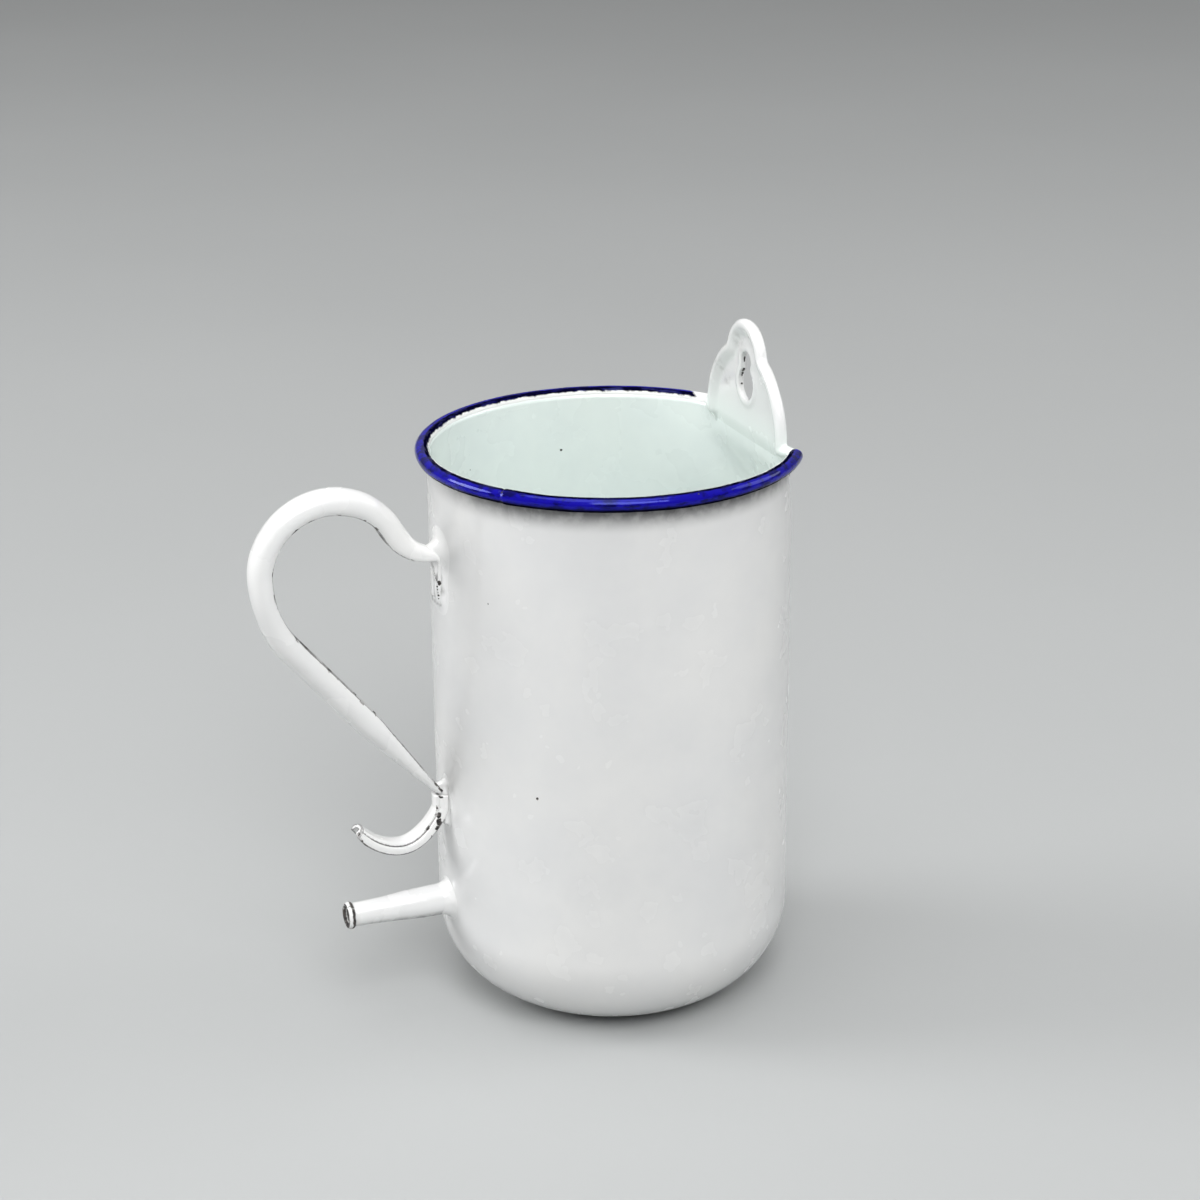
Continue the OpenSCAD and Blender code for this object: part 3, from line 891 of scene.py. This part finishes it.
def crack(p, q, count, radius, seed):
    """Ragged small chips in a row from p to q, as an enamel crack shows them."""
    out = []
    for i in range(count):
        t = i / max(1, count - 1)
        spot = [a + (b - a) * t for a, b in zip(p, q)]
        v = noise.noise_vector(Vector((i * 1.7 + seed, seed, 0.3)))
        size = radius * (1 + 0.6 * v[1])
        out.append((spot[0] + 0.25 * v[0], spot[1], spot[2] + 0.2 * v[2], size))
    return out


def white_finish(kit, name, base, chips, seed):
    finish = Finish(name, kit, seed)
    finish.white(base)
    finish.add_chips(chips)
    return finish


def body_finish(kit, colours):
    # The body's white is a tenth darker than the other pieces' white: painted shade of the upright
    # wall
    shaded_white = tuple(c * 0.90 for c in colours.white[:3]) + (1.0,)
    finish = white_finish(kit, "white enamel body", shaded_white, BODY_CHIPS, 1.0)
    w = finish.w
    # Painted shadow of the rim on the wall just below it, strongest in front
    shade_below = w.remap(finish.parts[2], 0.1805, 0.1888)
    ragged = w.remap(w.noise(finish.place, 260.0, 3.0), 0.3, 0.62, 0.75, 1.0)
    ragged = w.times(ragged, w.remap(finish.parts[0], -0.01, 0.04, 0.25, 1.0))
    finish.shadow(w.times(shade_below, ragged), RIM_SHADOW, 0.92)
    # Painted dark reflection: a grey strip on the wall below the hook, down towards the spout
    finish.dark_patches(HOOK_REFLECTION_PATCHES, HOOK_REFLECTION_GREY, 0.5, 0.15)
    finish.close(0.22)


def inside_finish(kit, colours):
    finish = white_finish(kit, "white enamel inside", colours.inside, INSIDE_CHIPS, 2.0)
    finish.close(0.25, 0.45)


def plate_finish(kit, colours):
    finish = white_finish(kit, "white enamel plate", colours.white, PLATE_CHIPS, 3.0)
    # Grey dirt on the plate's face, and painted shade in the hollow under the roll at the crown
    finish.dark_patches(PLATE_DIRT_AND_SHADE, GREY_DIRT_AND_SHADE, 0.5)
    finish.shadow(finish.w.remap(finish.parts[2], 0.204, 0.186), tuple(colours.inside), 1.0)
    finish.close(0.22)


def strip_finishes(kit, colours):
    """Finishes of the handle, the hook and the welds; one crack runs over handle and welds."""
    seam = crack((0.4, -61.9, 157.8), (2.7, -61.8, 153.7), 7, 0.36, 3.0)
    seam += crack((2.9, -61.6, 151.6), (3.1, -61.3, 147.4), 5, 0.3, 5.0)
    finish = white_finish(kit, "white enamel handle", colours.white, HANDLE_CHIPS, 4.0)
    finish.add_chips(seam)
    # Grey line along the handle's cut edges: worn enamel and painted shade of the section's edges
    finish.worn_and_shaded_edges(0.8, 0.56, 0.6)
    finish.close(0.24)
    finish = white_finish(kit, "white enamel hook", colours.white, HOOK_CHIPS, 5.0)
    # Grey line along the hook's cut edges and in its groove: worn enamel and painted shade
    finish.worn_and_shaded_edges(0.9, 0.6, 0.65)
    finish.close(0.22)
    finish = white_finish(kit, "white enamel welds", colours.white, WELD_CHIPS, 6.0)
    # Dark grey smears beside the crack on the tongue's weld
    finish.dark_patches(WELD_SMUDGES, SHADE_AND_SMEAR, 0.75, 0.4)
    finish.add_chips(seam)
    finish.close(0.24)


def spout_finish(kit, colours):
    """White enamel with painted shade that makes it grey below, worn to black iron on the lip's two
    edges.
    """
    finish = white_finish(kit, "white enamel spout", colours.white, [], 7.0)
    w = finish.w
    x, y, z = finish.parts
    z = w.minus(z, SPOUT_Z * MM)
    bore = w.math("SQRT", w.plus(w.times(x, x), w.times(z, z)))
    patch = w.noise(finish.place, 380.0, 4.0, 0.7)
    y = w.plus(y, w.times(w.minus(patch, 0.5), 0.0022))
    neck = w.times(w.remap(y, -0.0936, -0.0940), w.remap(y, -0.0951, -0.0946))
    mouth = w.times(w.remap(y, -0.0951, -0.0956), w.remap(bore, 0.0043, 0.0039))
    # Painted shade: grey on the spout's underside
    below = w.times(w.remap(z, -0.0014, -0.0042), w.remap(patch, 0.3, 0.62, 0.35, 1.0))
    finish.shadow(below, SHADE_AND_SMEAR, 0.8)
    finish.dull = w.times(below, 0.8)
    finish.marks.append(w.times(neck, w.remap(patch, 0.38, 0.43)))
    finish.marks.append(w.times(mouth, w.remap(patch, 0.60, 0.54)))
    finish.marks.append(w.times(w.remap(y, -0.0938, -0.0945), w.remap(patch, 0.60, 0.64)))
    finish.close(0.24)


def rim_finish(kit, colours):
    """Streaky blue enamel with black ragged edges, the black underside painted shade, white on the
    lip and beside the plate.
    """
    finish = Finish("blue enamel rim", kit, 8.0, 1.6)
    w = finish.w
    x, y, z = finish.parts
    across = w.plus(z, w.times(finish.radial(), 0.7))
    drawn = w.add("ShaderNodeCombineXYZ", {0: w.times(x, 0.3), 1: w.times(y, 0.3), 2: across})
    streak = w.noise(drawn.outputs[0], 620.0, 3.0, 0.6)
    deep = tuple(c * 0.25 for c in colours.blue[:3]) + (1.0,)
    finish.colour = w.mix(w.remap(streak, 0.34, 0.56), deep, tuple(colours.blue))
    finish.tint = BLUE_SHINE
    finish.relief = w.times(streak, 0.16)
    ragged = w.times(w.minus(w.noise(finish.place, 420.0, 3.0), 0.5), 0.0008)
    # At the front the white lip and the black ring reach further over the bead: the white is a
    # painted highlight line, the black partly wear and partly a painted dark reflection
    front = w.minus(w.times(x, 0.93), w.times(y, 0.37))
    wider = w.remap(front, 0.005, 0.035, 0.0, -0.0015)
    lip = w.plus(finish.radial(), w.plus(ragged, wider))
    # Painted shade: the bead's underside is black
    shade_below = w.remap(w.plus(z, ragged), 0.1907, 0.1896)
    over = w.times(w.remap(lip, 0.0611, 0.0606), w.remap(streak, 0.35, 0.5, 0.4, 1.0))
    finish.dull = w.math("MAXIMUM", shade_below, over)
    finish.shadow(finish.dull, BLACK_WEAR_AND_SHADE, 0.97)
    finish.shadow(w.remap(lip, 0.0595, 0.0592), tuple(colours.white), 1.0)
    beside = w.remap(w.plus(y, w.times(ragged, 3.0)), 0.0466, 0.0474)
    left = w.math("LESS_THAN", x, 0.0)
    finish.shadow(w.times(beside, left), tuple(colours.white), 1.0)
    finish.pitted = 0.6
    finish.add_chips(RIM_CHIPS)
    finish.close(0.08, 0.8, 0.0)


def make_finishes():
    """Materials that the pieces share, made once."""
    if bpy.data.materials.get("white enamel body"):
        return
    colours = bpy.context.scene.enamel_colours
    kit = (colours, skin_group(), chip_group())
    for make in (
        body_finish, inside_finish, plate_finish, strip_finishes, spout_finish, rim_finish,
    ):
        make(kit, colours)


def finish_named(name):
    make_finishes()
    return bpy.data.materials[name]


# Operators


class CAN_OT_cup(bpy.types.Operator):
    """Drawn cup with its flattened back and the hole for the spout"""

    bl_idname = "can.cup"
    bl_label = "Cup"

    def execute(self, context):
        sizes = context.scene.can_sizes
        slope = (sizes.radius - sizes.flat) / 0.019
        piece = link("cup", bpy.data.meshes.new("cup"))
        run_tree(
            piece, cup_tree(), Radius=sizes.radius, Height=sizes.height, Corner=sizes.corner,
            Flat=sizes.flat, Crease=CREASE_Z * MM, Slope=slope, Ease=0.007, Waves=0.0002,
            Material=finish_named("white enamel body"),
        )
        tidy(piece.data, outward=False)
        thick = piece.modifiers.new("sheet", "SOLIDIFY")
        thick.thickness = sizes.wall
        thick.offset = -1.0
        thick.material_offset = 1
        piece.data.materials.append(finish_named("white enamel body"))
        piece.data.materials.append(finish_named("white enamel inside"))
        baked(piece)
        ring = arc((0, SPOUT_Z), SPOUT_R, 0, 360, 64)[:-1]
        cutter = skinned("spout hole", [[(x, y, z) for x, z in ring] for y in (-50.0, -66.0)])
        hole = piece.modifiers.new("hole", "BOOLEAN")
        hole.operation = "DIFFERENCE"
        hole.object = cutter
        baked(piece)
        drop(cutter)
        settle(piece, ["can_body"], "white_enamel",
               "white enamel body", "white enamel inside")
        return {"FINISHED"}


class CAN_OT_rim(bpy.types.Operator):
    """Rolled rim in blue enamel, with the joint where its ends meet"""

    bl_idname = "can.rim"
    bl_label = "Rolled rim"

    def execute(self, context):
        bead = context.scene.can_sizes.bead / MM
        path = []
        for i in range(561):
            a = math.radians(90 + BEAD_GAP - 1 + (360 - 2 * BEAD_GAP + 2) * i / 560)
            path.append((RIM_R * math.cos(a), RIM_R * math.sin(a), CAN_H))
        piece = swept_bead(
            "rim", bead_tree(), path, bead, Step=0.0006, Sides=36, Uneven=0.07, Scale=70.0
        )
        joint = Vector((37.2, -51.9, 0.0)).normalized()
        for v in piece.data.vertices:
            flat = Vector((v.co.x, v.co.y, 0.0))
            along = math.degrees(math.atan2(v.co.y, v.co.x) - math.atan2(joint.y, joint.x))
            if abs(along) < 12:
                # A nick at the joint, and the bead a little thicker on one side of it
                dip = 0.10 * math.exp(-(along / 0.45) ** 2)
                dip -= 0.05 * math.exp(-along / 5.0) if along > 0 else 0.0
                mid = flat.normalized() * RIM_R * MM + Vector((0, 0, CAN_H * MM))
                v.co = mid + (v.co - mid) * (1 - dip)
        settle(piece, ["rim_bead"], "blue_enamel", "blue enamel rim")
        return {"FINISHED"}


class CAN_OT_plate(bpy.types.Operator):
    """Hanging plate with its rolled edge, its keyhole and the elbows that run into the rim"""

    bl_idname = "can.plate"
    bl_label = "Hanging plate"

    def execute(self, context):
        roll = context.scene.can_sizes.roll / MM
        zc, rc = CROWN
        zb, rb = BASE
        d = zc - zb
        a = (rc * rc - rb * rb + d * d) / (2 * d)
        notch = (math.sqrt(rc * rc - a * a), zc - a)
        crown_a = math.degrees(math.atan2(notch[1] - zc, notch[0]))
        base_a = math.degrees(math.atan2(notch[1] - zb, notch[0]))
        low_a = -math.degrees(math.asin(0.6 / rb))
        side = arc((0, zb), rb, low_a, base_a, 60)
        top = arc((0, zc), rc, crown_a, 180 - crown_a, 90)
        edge = side + top[1:-1] + [(-x, z) for x, z in side[::-1]]
        edge = softened(softened(resampled(edge, 0.5), 3), 2)
        gap = math.radians(BEAD_GAP - 1)
        end = (RIM_R * math.sin(gap), RIM_R * math.cos(gap))
        foot = (side[0][0], ROLL_Y)

        def elbow(sign):
            mid = ((foot[0] + end[0]) / 2, (foot[1] + end[1]) / 2 + 0.4)
            return [(sign * x, y, CAN_H) for x, y in (end, mid)]

        path = elbow(1) + [(x, ROLL_Y, z) for x, z in edge] + elbow(-1)[::-1]
        rim = swept_bead(
            "roll", bead_tree(), path, roll, Step=0.0005, Sides=24, Uneven=0.05, Scale=80.0
        )
        base = [(30.8, CREASE_Z - 0.6), (30.8, CAN_H - 1.2), (side[0][0], CAN_H)]
        outline = base + edge + [(-x, z) for x, z in base[::-1]]
        to_edge = distance_to(edge)
        to_inner = distance_to([
            (x - (z1 - z0), z + (x1 - x0))
            for (x0, z0), (x, z), (x1, z1) in zip(edge, edge[1:], edge[2:])
        ])
        z0, r0, z1, r1 = KEY
        meet = math.degrees(math.asin(r1 / r0))
        key = arc((0, z0), r0, 90 - meet, -270 + meet, 40) + arc((0, z1), r1, 180, 0, 20)
        sheet = self.plate("sheet", outline, key, LAP_Y - WALL, LAP_Y + 0.7)
        to_key = distance_to(resampled(key, 0.3))
        piece = fused("hanging_plate", [rim, sheet], 0.32, 7)
        front = LAP_Y - WALL
        for v in piece.data.vertices:
            x, y, z = (c / MM for c in v.co)
            if y < front + 0.5:
                # Enamel fills the hollow beside the roll and swells softly round the keyhole
                away = to_edge(x, z)
                if to_inner(x, z) < away:
                    y = min(y, front - 1.5 * (1 - eased((away - 0.7) / 3.8)))
                y -= 0.45 * math.exp(-((to_key(x, z) - 1.2) / 1.3) ** 2)
            # The lap thins out on the wall, at its lower edge and at its two sides
            low = eased((192.0 - z) / 9.0) if abs(x) < 25 else eased((188.7 - z) / 5.2)
            side = eased((abs(x) - 25.5) / 5.0) * eased((188.7 - z) / 2.0)
            y += max(0.0, LAP_Y + 0.7 - y) * max(low, side)
            v.co.y = y * MM
        soft = piece.modifiers.new("soft", "SMOOTH")
        soft.iterations = 4
        baked(piece)
        settle(piece, ["hanger_plate"], "white_enamel", "white enamel plate")
        return {"FINISHED"}

    def plate(self, name, outline, hole, y0, y1):
        """Flat sheet between two distances, with a hole."""
        curve = bpy.data.curves.new(name, "CURVE")
        curve.dimensions = "2D"
        curve.fill_mode = "BOTH"
        curve.extrude = (y1 - y0) / 2 * MM
        for loop in (outline, hole):
            spline = curve.splines.new("POLY")
            spline.points.add(len(loop) - 1)
            for point, (x, z) in zip(spline.points, loop):
                point.co = (x * MM, z * MM, 0.0, 1.0)
            spline.use_cyclic_u = True
        drawn = link(name + "_outline", curve)
        graph = bpy.context.evaluated_depsgraph_get()
        mesh = bpy.data.meshes.new_from_object(drawn.evaluated_get(graph), depsgraph=graph)
        drop(drawn)
        for v in mesh.vertices:
            x, z, t = v.co
            v.co = (x, (y0 + y1) / 2 * MM - t, z)
        tidy(mesh)
        return link(name, mesh)


class CAN_OT_handle(bpy.types.Operator):
    """Pressed strip handle"""

    bl_idname = "can.handle"
    bl_label = "Handle"

    def execute(self, context):
        path = handle_path()
        length = runs(path)[-1] - 1.4
        lap = 14.5
        neck = lap + 16.2
        top = neck + LOOP_R * math.radians(62)
        side = top + LOOP_R * math.radians(93)
        piece = strip_solid(
            "handle_strip", path,
            width=[(0, 6.4), (lap, 8.6), (top, 10.8), (length - 30, 10.4), (length - 10, 8.4),
                   (length, 5.8)],
            depth=[(lap - 1, 1.5), (lap + 1, 1.9), (lap + 5.6, 4.4), (neck, 7.6), (top, 8.2),
                   (side - 12, 7.2), (side + 14, 7.2), (side + 27, 8.3), (length - 34, 8.3),
                   (length, 2.4)],
            thick=1.4, full=[(lap, 0.3), (neck, 0.9), (length - 34, 0.9), (length, 0.5)],
            curl=[(lap, 0.0), (neck, 35.0), (length - 34, 35.0), (length, 4.0)],
            seat=[(lap, 1.0), (lap + 5, 0.0)], marked_from=lap + 8, seed=3.0,
        )
        settle(piece, ["handle"], "white_enamel", "white enamel handle")
        return {"FINISHED"}


class CAN_OT_hook(bpy.types.Operator):
    """Gutter-shaped tube hook under the handle's foot"""

    bl_idname = "can.hook"
    bl_label = "Tube hook"

    def execute(self, context):
        path = hook_path()
        length = runs(path)[-1]
        piece = strip_solid(
            "hook_strip", path,
            width=[(0, 6.8), (4.5, 7.0), (16, 9.0), (length - 4, 9.0), (length, 8.0)],
            depth=[(4.5, 4.6), (14.5, 4.1), (length - 4, 4.1), (length, 3.6)], thick=1.3,
            full=[(0, 0.45)], curl=[(0, 0.0)], seat=[(4.5, 1.0), (9, 0.0)], marked_from=4.0,
            groove=(32, 0.6), step=0.6, blunt=0.9, seed=9.0,
        )
        settle(piece, ["tube_hook"], "white_enamel", "white enamel hook")
        return {"FINISHED"}


class CAN_OT_spout(bpy.types.Operator):
    """Tapered hose spout with its rolled lip"""

    bl_idname = "can.spout"
    bl_label = "Spout"

    def execute(self, context):
        tip = 96.2
        outer = [(58.6, 5.05), (CAN_R, SPOUT_R)]
        for k in range(1, 25):
            swell = 0.42 * math.exp(-((k - 6) / 8) ** 2)
            outer.append((CAN_R + 33.2 * k / 24, SPOUT_R - 1.15 * k / 24 + swell))
        turns = [math.radians(205 - 205 * k / 16) for k in range(17)]
        lip = [(94.95 + 1.22 * math.cos(a), 3.75 + 0.88 * math.sin(a)) for a in turns]
        bore = [(tip - 0.35, 3.15), (tip - 1.2, 3.0), (75.0, 3.0), (58.6, 3.0)]

        def place(along, x, z):
            if along < 59:
                along = wall_at(x, CAN_R - WALL) - 0.1
            p = (x, -along, SPOUT_Z + z)
            return wobble(p, 6.0, 0.09, 4.0) if along > 62 else p

        piece = lathe("spout_tube", outer + lip + bore, 72, place)
        settle(piece, ["spout"], "white_enamel", "white enamel spout")
        return {"FINISHED"}


class CAN_OT_welds(bpy.types.Operator):
    """Enamelled runs of weld at the handle, the hook and the spout"""

    bl_idname = "can.welds"
    bl_label = "Welds"

    def execute(self, context):
        fillet = context.scene.can_sizes.fillet / MM
        welds = "white enamel welds"
        tongue = wall_fillet(
            "tongue_weld", tapered_outline(145.2, 165.0, 2.9, 2.4, 2.2),
            lambda z: 4.4 + 1.6 * eased((z - 156) / 6),
            lambda z: 2.0 + 3.0 * eased((z - 157) / 6.6),
            1.0, lambda z: 2.6 - 1.4 * eased((z - 155) / 3), 0.1,
        )
        settle(tongue, ["handle_weld"], "white_enamel", welds)
        foot = wall_fillet(
            "hook_foot_weld", tapered_outline(66.6, 81.4, 3.2, 1.0, 1.0),
            lambda z: 1.1 + 0.9 * eased((z - 79) / 2),
            lambda z: 1.3 + 2.1 * eased((z - 72) / 8), 5.0,
        )
        settle(foot, ["hook_weld"], "white_enamel", welds)
        root = wall_fillet(
            "spout_root_weld", arc((0, SPOUT_Z), SPOUT_R + 0.05, 0, 360, 90)[:-1],
            lambda z: fillet * 0.7, lambda z: fillet * 1.75, 8.0,
        )
        settle(root, ["spout_weld"], "white_enamel", welds)
        return {"FINISHED"}


class CAN_OT_stage(bpy.types.Operator):
    """Pale floor, soft studio light and the camera"""

    bl_idname = "can.stage"
    bl_label = "Stage"

    def execute(self, context):
        scene = context.scene
        scene.view_settings.view_transform = "Standard"
        self.floor()
        self.world(scene)
        self.lamp("top", (0.2, -0.3, 2.3), 1.8, 20.0)
        self.lamp("front", (1.6, -0.3, 1.8), 1.4, 36.0)
        self.lamp("left", (-0.9, -2.0, 1.1), 1.2, 32.0)
        self.lamp("right", (0.4, 2.0, 1.2), 1.4, 11.0)
        self.lamp("window", (1.5, -0.9, 1.25), 0.3, 1.3)
        camera = bpy.data.cameras.new("camera")
        camera.lens = 84.0
        camera.sensor_width = 36.0
        camera.clip_start = 0.05
        camera.clip_end = 30.0
        seen = link("camera", camera)
        seen.location = (0.81203, -0.32808, 0.466)
        seen.rotation_euler = Euler([math.radians(a) for a in (69.4063, 0.40887, 68.07547)])
        scene.camera = seen
        return {"FINISHED"}

    def lamp(self, name, place, size, power):
        light = bpy.data.lights.new(name, "AREA")
        light.shape = "DISK"
        light.size = size
        light.energy = power
        lamp = link(name, light)
        lamp.location = place
        aim = Vector((0, 0, 0.1)) - Vector(place)
        lamp.rotation_euler = aim.to_track_quat("-Z", "Y").to_euler()

    def floor(self):
        mesh = bpy.data.meshes.new("floor")
        mesh.from_pydata([(-6, -6, 0), (6, -6, 0), (6, 6, 0), (-6, 6, 0)], [], [(0, 1, 2, 3)])
        floor = link("floor", mesh)
        material = bpy.data.materials.new("pale floor")
        material.use_nodes = True
        tree = material.node_tree
        tree.nodes.clear()
        w = Wiring(tree)
        place = w.add("ShaderNodeTexCoord").outputs["Object"]
        tone = w.mix(w.noise(place, 3.0, 3.0), (0.40, 0.41, 0.41, 1.0), (0.43, 0.44, 0.44, 1.0))
        shader = w.add("ShaderNodeBsdfPrincipled", {"Base Color": tone, "Roughness": 0.8})
        w.add("ShaderNodeOutputMaterial", {"Surface": shader.outputs[0]})
        floor.data.materials.append(material)

    def world(self, scene):
        world = bpy.data.worlds.new("studio")
        scene.world = world
        world.use_nodes = True
        tree = world.node_tree
        tree.nodes.clear()
        w = Wiring(tree)
        facing = w.add("ShaderNodeTexCoord").outputs["Generated"]
        up = w.add("ShaderNodeSeparateXYZ", {0: facing}).outputs[2]
        colour = w.mix(w.remap(up, 0.0, 0.75), (0.20, 0.20, 0.20, 1.0), (0.38, 0.38, 0.38, 1.0))
        plain = w.add("ShaderNodeBackground", {"Color": colour, "Strength": 1.0})
        w.add("ShaderNodeOutputWorld", {"Surface": plain.outputs[0]})


class CAN_PT_panel(bpy.types.Panel):
    """Sizes, colours and pieces of the can"""

    bl_label = "Douche can"
    bl_idname = "CAN_PT_panel"
    bl_space_type = "VIEW_3D"
    bl_region_type = "UI"
    bl_category = "Douche can"

    def draw(self, context):
        layout = self.layout
        for group in (context.scene.can_sizes, context.scene.enamel_colours):
            box = layout.box()
            for key in group.__annotations__:
                box.prop(group, key)
        for operator in PIECES:
            layout.operator(operator.bl_idname)


PIECES = (
    CAN_OT_cup, CAN_OT_rim, CAN_OT_plate, CAN_OT_handle, CAN_OT_hook, CAN_OT_spout, CAN_OT_welds,
    CAN_OT_stage,
)
CLASSES = (CanSizes, EnamelColours) + PIECES + (CAN_PT_panel,)


def register():
    for cls in CLASSES:
        bpy.utils.register_class(cls)
    bpy.types.Scene.can_sizes = bpy.props.PointerProperty(type=CanSizes)
    bpy.types.Scene.enamel_colours = bpy.props.PointerProperty(type=EnamelColours)


def unregister():
    del bpy.types.Scene.can_sizes
    del bpy.types.Scene.enamel_colours
    for cls in reversed(CLASSES):
        bpy.utils.unregister_class(cls)


def main():
    register()
    bpy.ops.can.cup()
    bpy.ops.can.rim()
    bpy.ops.can.plate()
    bpy.ops.can.handle()
    bpy.ops.can.hook()
    bpy.ops.can.spout()
    bpy.ops.can.welds()
    bpy.ops.can.stage()


if __name__ == "__main__":
    main()
